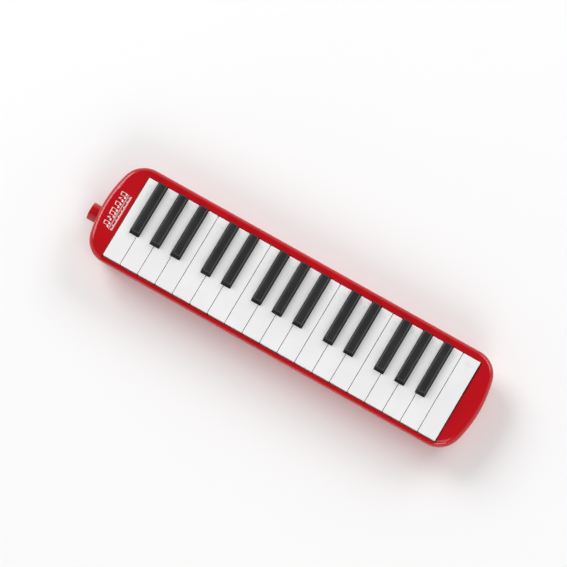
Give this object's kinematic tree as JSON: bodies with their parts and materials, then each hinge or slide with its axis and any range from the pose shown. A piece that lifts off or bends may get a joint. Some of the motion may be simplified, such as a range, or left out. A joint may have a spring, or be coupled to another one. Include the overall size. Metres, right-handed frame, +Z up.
{
  "type": "melodica",
  "caption": "Reed keyboard blown through a mouthpiece: glossy case with rounded ends, white and black see-saw keys, sprung drain button and a hand strap beneath",
  "frame": {"origin": "middle of the flat base of the case", "axes": "+X along the keyboard towards the high notes, so the mouthpiece socket points to -X; +Y to the back, away from the player; +Z up through the keys"},
  "size_m": [0.439, 0.108, 0.048],
  "materials": {
    "red_case": "high-gloss moulded, red",
    "white_keys": "glossy white key plastic",
    "black_keys": "satin black key plastic",
    "grey_plastic": "moulded, light grey",
    "black_plastic": "moulded, black",
    "soft_rubber": "soft sealing rubber",
    "reed_brass": "rolled brass",
    "zinc_steel": "zinc plated",
    "polished_steel": "bright drawn steel",
    "red_felt": "wool felt",
    "strap_leather": "stitched imitation leather"
  },
  "bodies": {
    "case": {"black_key_felt": "red_felt", "bottom_cover": "red_case", "case_screws": "zinc_steel", "chamber_cover": "grey_plastic", "chamber_gasket": "soft_rubber", "chamber_screws": "zinc_steel", "drain_spring": "polished_steel", "duct_seals": "soft_rubber", "frame_screws": "zinc_steel", "hand_strap": "strap_leather", "key_axle": "polished_steel", "key_frame": "black_plastic", "key_springs": "polished_steel", "mouthpiece_socket": "red_case", "reed_chamber": "grey_plastic", "reed_plate_high": "reed_brass", "reed_plate_low": "reed_brass", "reed_plate_screws": "zinc_steel", "reed_rivets": "reed_brass", "reeds": "reed_brass", "spring_rail": "black_plastic", "strap_anchor_plates": "zinc_steel", "strap_screws": "zinc_steel", "top_cover": "red_case", "white_key_felt": "red_felt", "wind_duct": "grey_plastic"},
    "white_key_f3_lever": {"white_key_f3": "white_keys"},
    "black_key_fs3_lever": {"black_key_fs3": "black_keys"},
    "white_key_g3_lever": {"white_key_g3": "white_keys"},
    "black_key_gs3_lever": {"black_key_gs3": "black_keys"},
    "white_key_a3_lever": {"white_key_a3": "white_keys"},
    "black_key_as3_lever": {"black_key_as3": "black_keys"},
    "white_key_b3_lever": {"white_key_b3": "white_keys"},
    "white_key_c4_lever": {"white_key_c4": "white_keys"},
    "black_key_cs4_lever": {"black_key_cs4": "black_keys"},
    "white_key_d4_lever": {"white_key_d4": "white_keys"},
    "black_key_ds4_lever": {"black_key_ds4": "black_keys"},
    "white_key_e4_lever": {"white_key_e4": "white_keys"},
    "white_key_f4_lever": {"white_key_f4": "white_keys"},
    "black_key_fs4_lever": {"black_key_fs4": "black_keys"},
    "white_key_g4_lever": {"white_key_g4": "white_keys"},
    "black_key_gs4_lever": {"black_key_gs4": "black_keys"},
    "white_key_a4_lever": {"white_key_a4": "white_keys"},
    "black_key_as4_lever": {"black_key_as4": "black_keys"},
    "white_key_b4_lever": {"white_key_b4": "white_keys"},
    "white_key_c5_lever": {"white_key_c5": "white_keys"},
    "black_key_cs5_lever": {"black_key_cs5": "black_keys"},
    "white_key_d5_lever": {"white_key_d5": "white_keys"},
    "black_key_ds5_lever": {"black_key_ds5": "black_keys"},
    "white_key_e5_lever": {"white_key_e5": "white_keys"},
    "white_key_f5_lever": {"white_key_f5": "white_keys"},
    "black_key_fs5_lever": {"black_key_fs5": "black_keys"},
    "white_key_g5_lever": {"white_key_g5": "white_keys"},
    "black_key_gs5_lever": {"black_key_gs5": "black_keys"},
    "white_key_a5_lever": {"white_key_a5": "white_keys"},
    "black_key_as5_lever": {"black_key_as5": "black_keys"},
    "white_key_b5_lever": {"white_key_b5": "white_keys"},
    "white_key_c6_lever": {"white_key_c6": "white_keys"},
    "drain_plunger": {"drain_button": "black_plastic", "drain_seal": "soft_rubber"}
  },
  "joints": [
    {"name": "white_key_f3_press", "type": "hinge", "parent": "case", "child": "white_key_f3_lever", "pos_m": [0, 0.016, 0.038], "axis": [1, 0, 0], "range_deg": [0, 3.6], "stiffness_Nm_per_rad": 0.15, "springref_deg": -10.31, "deforming": ["key_springs"]},
    {"name": "black_key_fs3_press", "type": "hinge", "parent": "case", "child": "black_key_fs3_lever", "pos_m": [0, 0.016, 0.038], "axis": [1, 0, 0], "range_deg": [0, 4.5], "stiffness_Nm_per_rad": 0.15, "springref_deg": -10.31, "deforming": ["key_springs"]},
    {"name": "white_key_g3_press", "type": "hinge", "parent": "case", "child": "white_key_g3_lever", "pos_m": [0, 0.016, 0.038], "axis": [1, 0, 0], "range_deg": [0, 3.6], "stiffness_Nm_per_rad": 0.15, "springref_deg": -10.31, "deforming": ["key_springs"]},
    {"name": "black_key_gs3_press", "type": "hinge", "parent": "case", "child": "black_key_gs3_lever", "pos_m": [0, 0.016, 0.038], "axis": [1, 0, 0], "range_deg": [0, 4.5], "stiffness_Nm_per_rad": 0.15, "springref_deg": -10.31, "deforming": ["key_springs"]},
    {"name": "white_key_a3_press", "type": "hinge", "parent": "case", "child": "white_key_a3_lever", "pos_m": [0, 0.016, 0.038], "axis": [1, 0, 0], "range_deg": [0, 3.6], "stiffness_Nm_per_rad": 0.15, "springref_deg": -10.31, "deforming": ["key_springs"]},
    {"name": "black_key_as3_press", "type": "hinge", "parent": "case", "child": "black_key_as3_lever", "pos_m": [0, 0.016, 0.038], "axis": [1, 0, 0], "range_deg": [0, 4.5], "stiffness_Nm_per_rad": 0.15, "springref_deg": -10.31, "deforming": ["key_springs"]},
    {"name": "white_key_b3_press", "type": "hinge", "parent": "case", "child": "white_key_b3_lever", "pos_m": [0, 0.016, 0.038], "axis": [1, 0, 0], "range_deg": [0, 3.6], "stiffness_Nm_per_rad": 0.15, "springref_deg": -10.31, "deforming": ["key_springs"]},
    {"name": "white_key_c4_press", "type": "hinge", "parent": "case", "child": "white_key_c4_lever", "pos_m": [0, 0.016, 0.038], "axis": [1, 0, 0], "range_deg": [0, 3.6], "stiffness_Nm_per_rad": 0.15, "springref_deg": -10.31, "deforming": ["key_springs"]},
    {"name": "black_key_cs4_press", "type": "hinge", "parent": "case", "child": "black_key_cs4_lever", "pos_m": [0, 0.016, 0.038], "axis": [1, 0, 0], "range_deg": [0, 4.5], "stiffness_Nm_per_rad": 0.15, "springref_deg": -10.31, "deforming": ["key_springs"]},
    {"name": "white_key_d4_press", "type": "hinge", "parent": "case", "child": "white_key_d4_lever", "pos_m": [0, 0.016, 0.038], "axis": [1, 0, 0], "range_deg": [0, 3.6], "stiffness_Nm_per_rad": 0.15, "springref_deg": -10.31, "deforming": ["key_springs"]},
    {"name": "black_key_ds4_press", "type": "hinge", "parent": "case", "child": "black_key_ds4_lever", "pos_m": [0, 0.016, 0.038], "axis": [1, 0, 0], "range_deg": [0, 4.5], "stiffness_Nm_per_rad": 0.15, "springref_deg": -10.31, "deforming": ["key_springs"]},
    {"name": "white_key_e4_press", "type": "hinge", "parent": "case", "child": "white_key_e4_lever", "pos_m": [0, 0.016, 0.038], "axis": [1, 0, 0], "range_deg": [0, 3.6], "stiffness_Nm_per_rad": 0.15, "springref_deg": -10.31, "deforming": ["key_springs"]},
    {"name": "white_key_f4_press", "type": "hinge", "parent": "case", "child": "white_key_f4_lever", "pos_m": [0, 0.016, 0.038], "axis": [1, 0, 0], "range_deg": [0, 3.6], "stiffness_Nm_per_rad": 0.15, "springref_deg": -10.31, "deforming": ["key_springs"]},
    {"name": "black_key_fs4_press", "type": "hinge", "parent": "case", "child": "black_key_fs4_lever", "pos_m": [0, 0.016, 0.038], "axis": [1, 0, 0], "range_deg": [0, 4.5], "stiffness_Nm_per_rad": 0.15, "springref_deg": -10.31, "deforming": ["key_springs"]},
    {"name": "white_key_g4_press", "type": "hinge", "parent": "case", "child": "white_key_g4_lever", "pos_m": [0, 0.016, 0.038], "axis": [1, 0, 0], "range_deg": [0, 3.6], "stiffness_Nm_per_rad": 0.15, "springref_deg": -10.31, "deforming": ["key_springs"]},
    {"name": "black_key_gs4_press", "type": "hinge", "parent": "case", "child": "black_key_gs4_lever", "pos_m": [0, 0.016, 0.038], "axis": [1, 0, 0], "range_deg": [0, 4.5], "stiffness_Nm_per_rad": 0.15, "springref_deg": -10.31, "deforming": ["key_springs"]},
    {"name": "white_key_a4_press", "type": "hinge", "parent": "case", "child": "white_key_a4_lever", "pos_m": [0, 0.016, 0.038], "axis": [1, 0, 0], "range_deg": [0, 3.6], "stiffness_Nm_per_rad": 0.15, "springref_deg": -10.31, "deforming": ["key_springs"]},
    {"name": "black_key_as4_press", "type": "hinge", "parent": "case", "child": "black_key_as4_lever", "pos_m": [0, 0.016, 0.038], "axis": [1, 0, 0], "range_deg": [0, 4.5], "stiffness_Nm_per_rad": 0.15, "springref_deg": -10.31, "deforming": ["key_springs"]},
    {"name": "white_key_b4_press", "type": "hinge", "parent": "case", "child": "white_key_b4_lever", "pos_m": [0, 0.016, 0.038], "axis": [1, 0, 0], "range_deg": [0, 3.6], "stiffness_Nm_per_rad": 0.15, "springref_deg": -10.31, "deforming": ["key_springs"]},
    {"name": "white_key_c5_press", "type": "hinge", "parent": "case", "child": "white_key_c5_lever", "pos_m": [0, 0.016, 0.038], "axis": [1, 0, 0], "range_deg": [0, 3.6], "stiffness_Nm_per_rad": 0.15, "springref_deg": -10.31, "deforming": ["key_springs"]},
    {"name": "black_key_cs5_press", "type": "hinge", "parent": "case", "child": "black_key_cs5_lever", "pos_m": [0, 0.016, 0.038], "axis": [1, 0, 0], "range_deg": [0, 4.5], "stiffness_Nm_per_rad": 0.15, "springref_deg": -10.31, "deforming": ["key_springs"]},
    {"name": "white_key_d5_press", "type": "hinge", "parent": "case", "child": "white_key_d5_lever", "pos_m": [0, 0.016, 0.038], "axis": [1, 0, 0], "range_deg": [0, 3.6], "stiffness_Nm_per_rad": 0.15, "springref_deg": -10.31, "deforming": ["key_springs"]},
    {"name": "black_key_ds5_press", "type": "hinge", "parent": "case", "child": "black_key_ds5_lever", "pos_m": [0, 0.016, 0.038], "axis": [1, 0, 0], "range_deg": [0, 4.5], "stiffness_Nm_per_rad": 0.15, "springref_deg": -10.31, "deforming": ["key_springs"]},
    {"name": "white_key_e5_press", "type": "hinge", "parent": "case", "child": "white_key_e5_lever", "pos_m": [0, 0.016, 0.038], "axis": [1, 0, 0], "range_deg": [0, 3.6], "stiffness_Nm_per_rad": 0.15, "springref_deg": -10.31, "deforming": ["key_springs"]},
    {"name": "white_key_f5_press", "type": "hinge", "parent": "case", "child": "white_key_f5_lever", "pos_m": [0, 0.016, 0.038], "axis": [1, 0, 0], "range_deg": [0, 3.6], "stiffness_Nm_per_rad": 0.15, "springref_deg": -10.31, "deforming": ["key_springs"]},
    {"name": "black_key_fs5_press", "type": "hinge", "parent": "case", "child": "black_key_fs5_lever", "pos_m": [0, 0.016, 0.038], "axis": [1, 0, 0], "range_deg": [0, 4.5], "stiffness_Nm_per_rad": 0.15, "springref_deg": -10.31, "deforming": ["key_springs"]},
    {"name": "white_key_g5_press", "type": "hinge", "parent": "case", "child": "white_key_g5_lever", "pos_m": [0, 0.016, 0.038], "axis": [1, 0, 0], "range_deg": [0, 3.6], "stiffness_Nm_per_rad": 0.15, "springref_deg": -10.31, "deforming": ["key_springs"]},
    {"name": "black_key_gs5_press", "type": "hinge", "parent": "case", "child": "black_key_gs5_lever", "pos_m": [0, 0.016, 0.038], "axis": [1, 0, 0], "range_deg": [0, 4.5], "stiffness_Nm_per_rad": 0.15, "springref_deg": -10.31, "deforming": ["key_springs"]},
    {"name": "white_key_a5_press", "type": "hinge", "parent": "case", "child": "white_key_a5_lever", "pos_m": [0, 0.016, 0.038], "axis": [1, 0, 0], "range_deg": [0, 3.6], "stiffness_Nm_per_rad": 0.15, "springref_deg": -10.31, "deforming": ["key_springs"]},
    {"name": "black_key_as5_press", "type": "hinge", "parent": "case", "child": "black_key_as5_lever", "pos_m": [0, 0.016, 0.038], "axis": [1, 0, 0], "range_deg": [0, 4.5], "stiffness_Nm_per_rad": 0.15, "springref_deg": -10.31, "deforming": ["key_springs"]},
    {"name": "white_key_b5_press", "type": "hinge", "parent": "case", "child": "white_key_b5_lever", "pos_m": [0, 0.016, 0.038], "axis": [1, 0, 0], "range_deg": [0, 3.6], "stiffness_Nm_per_rad": 0.15, "springref_deg": -10.31, "deforming": ["key_springs"]},
    {"name": "white_key_c6_press", "type": "hinge", "parent": "case", "child": "white_key_c6_lever", "pos_m": [0, 0.016, 0.038], "axis": [1, 0, 0], "range_deg": [0, 3.6], "stiffness_Nm_per_rad": 0.15, "springref_deg": -10.31, "deforming": ["key_springs"]},
    {"name": "drain_press", "type": "slide", "parent": "case", "child": "drain_plunger", "axis": [0, 0, 1], "range_m": [0, 0.0025], "stiffness_N_per_m": 400, "springref_m": -0.004, "deforming": ["drain_spring"]}
  ]
}
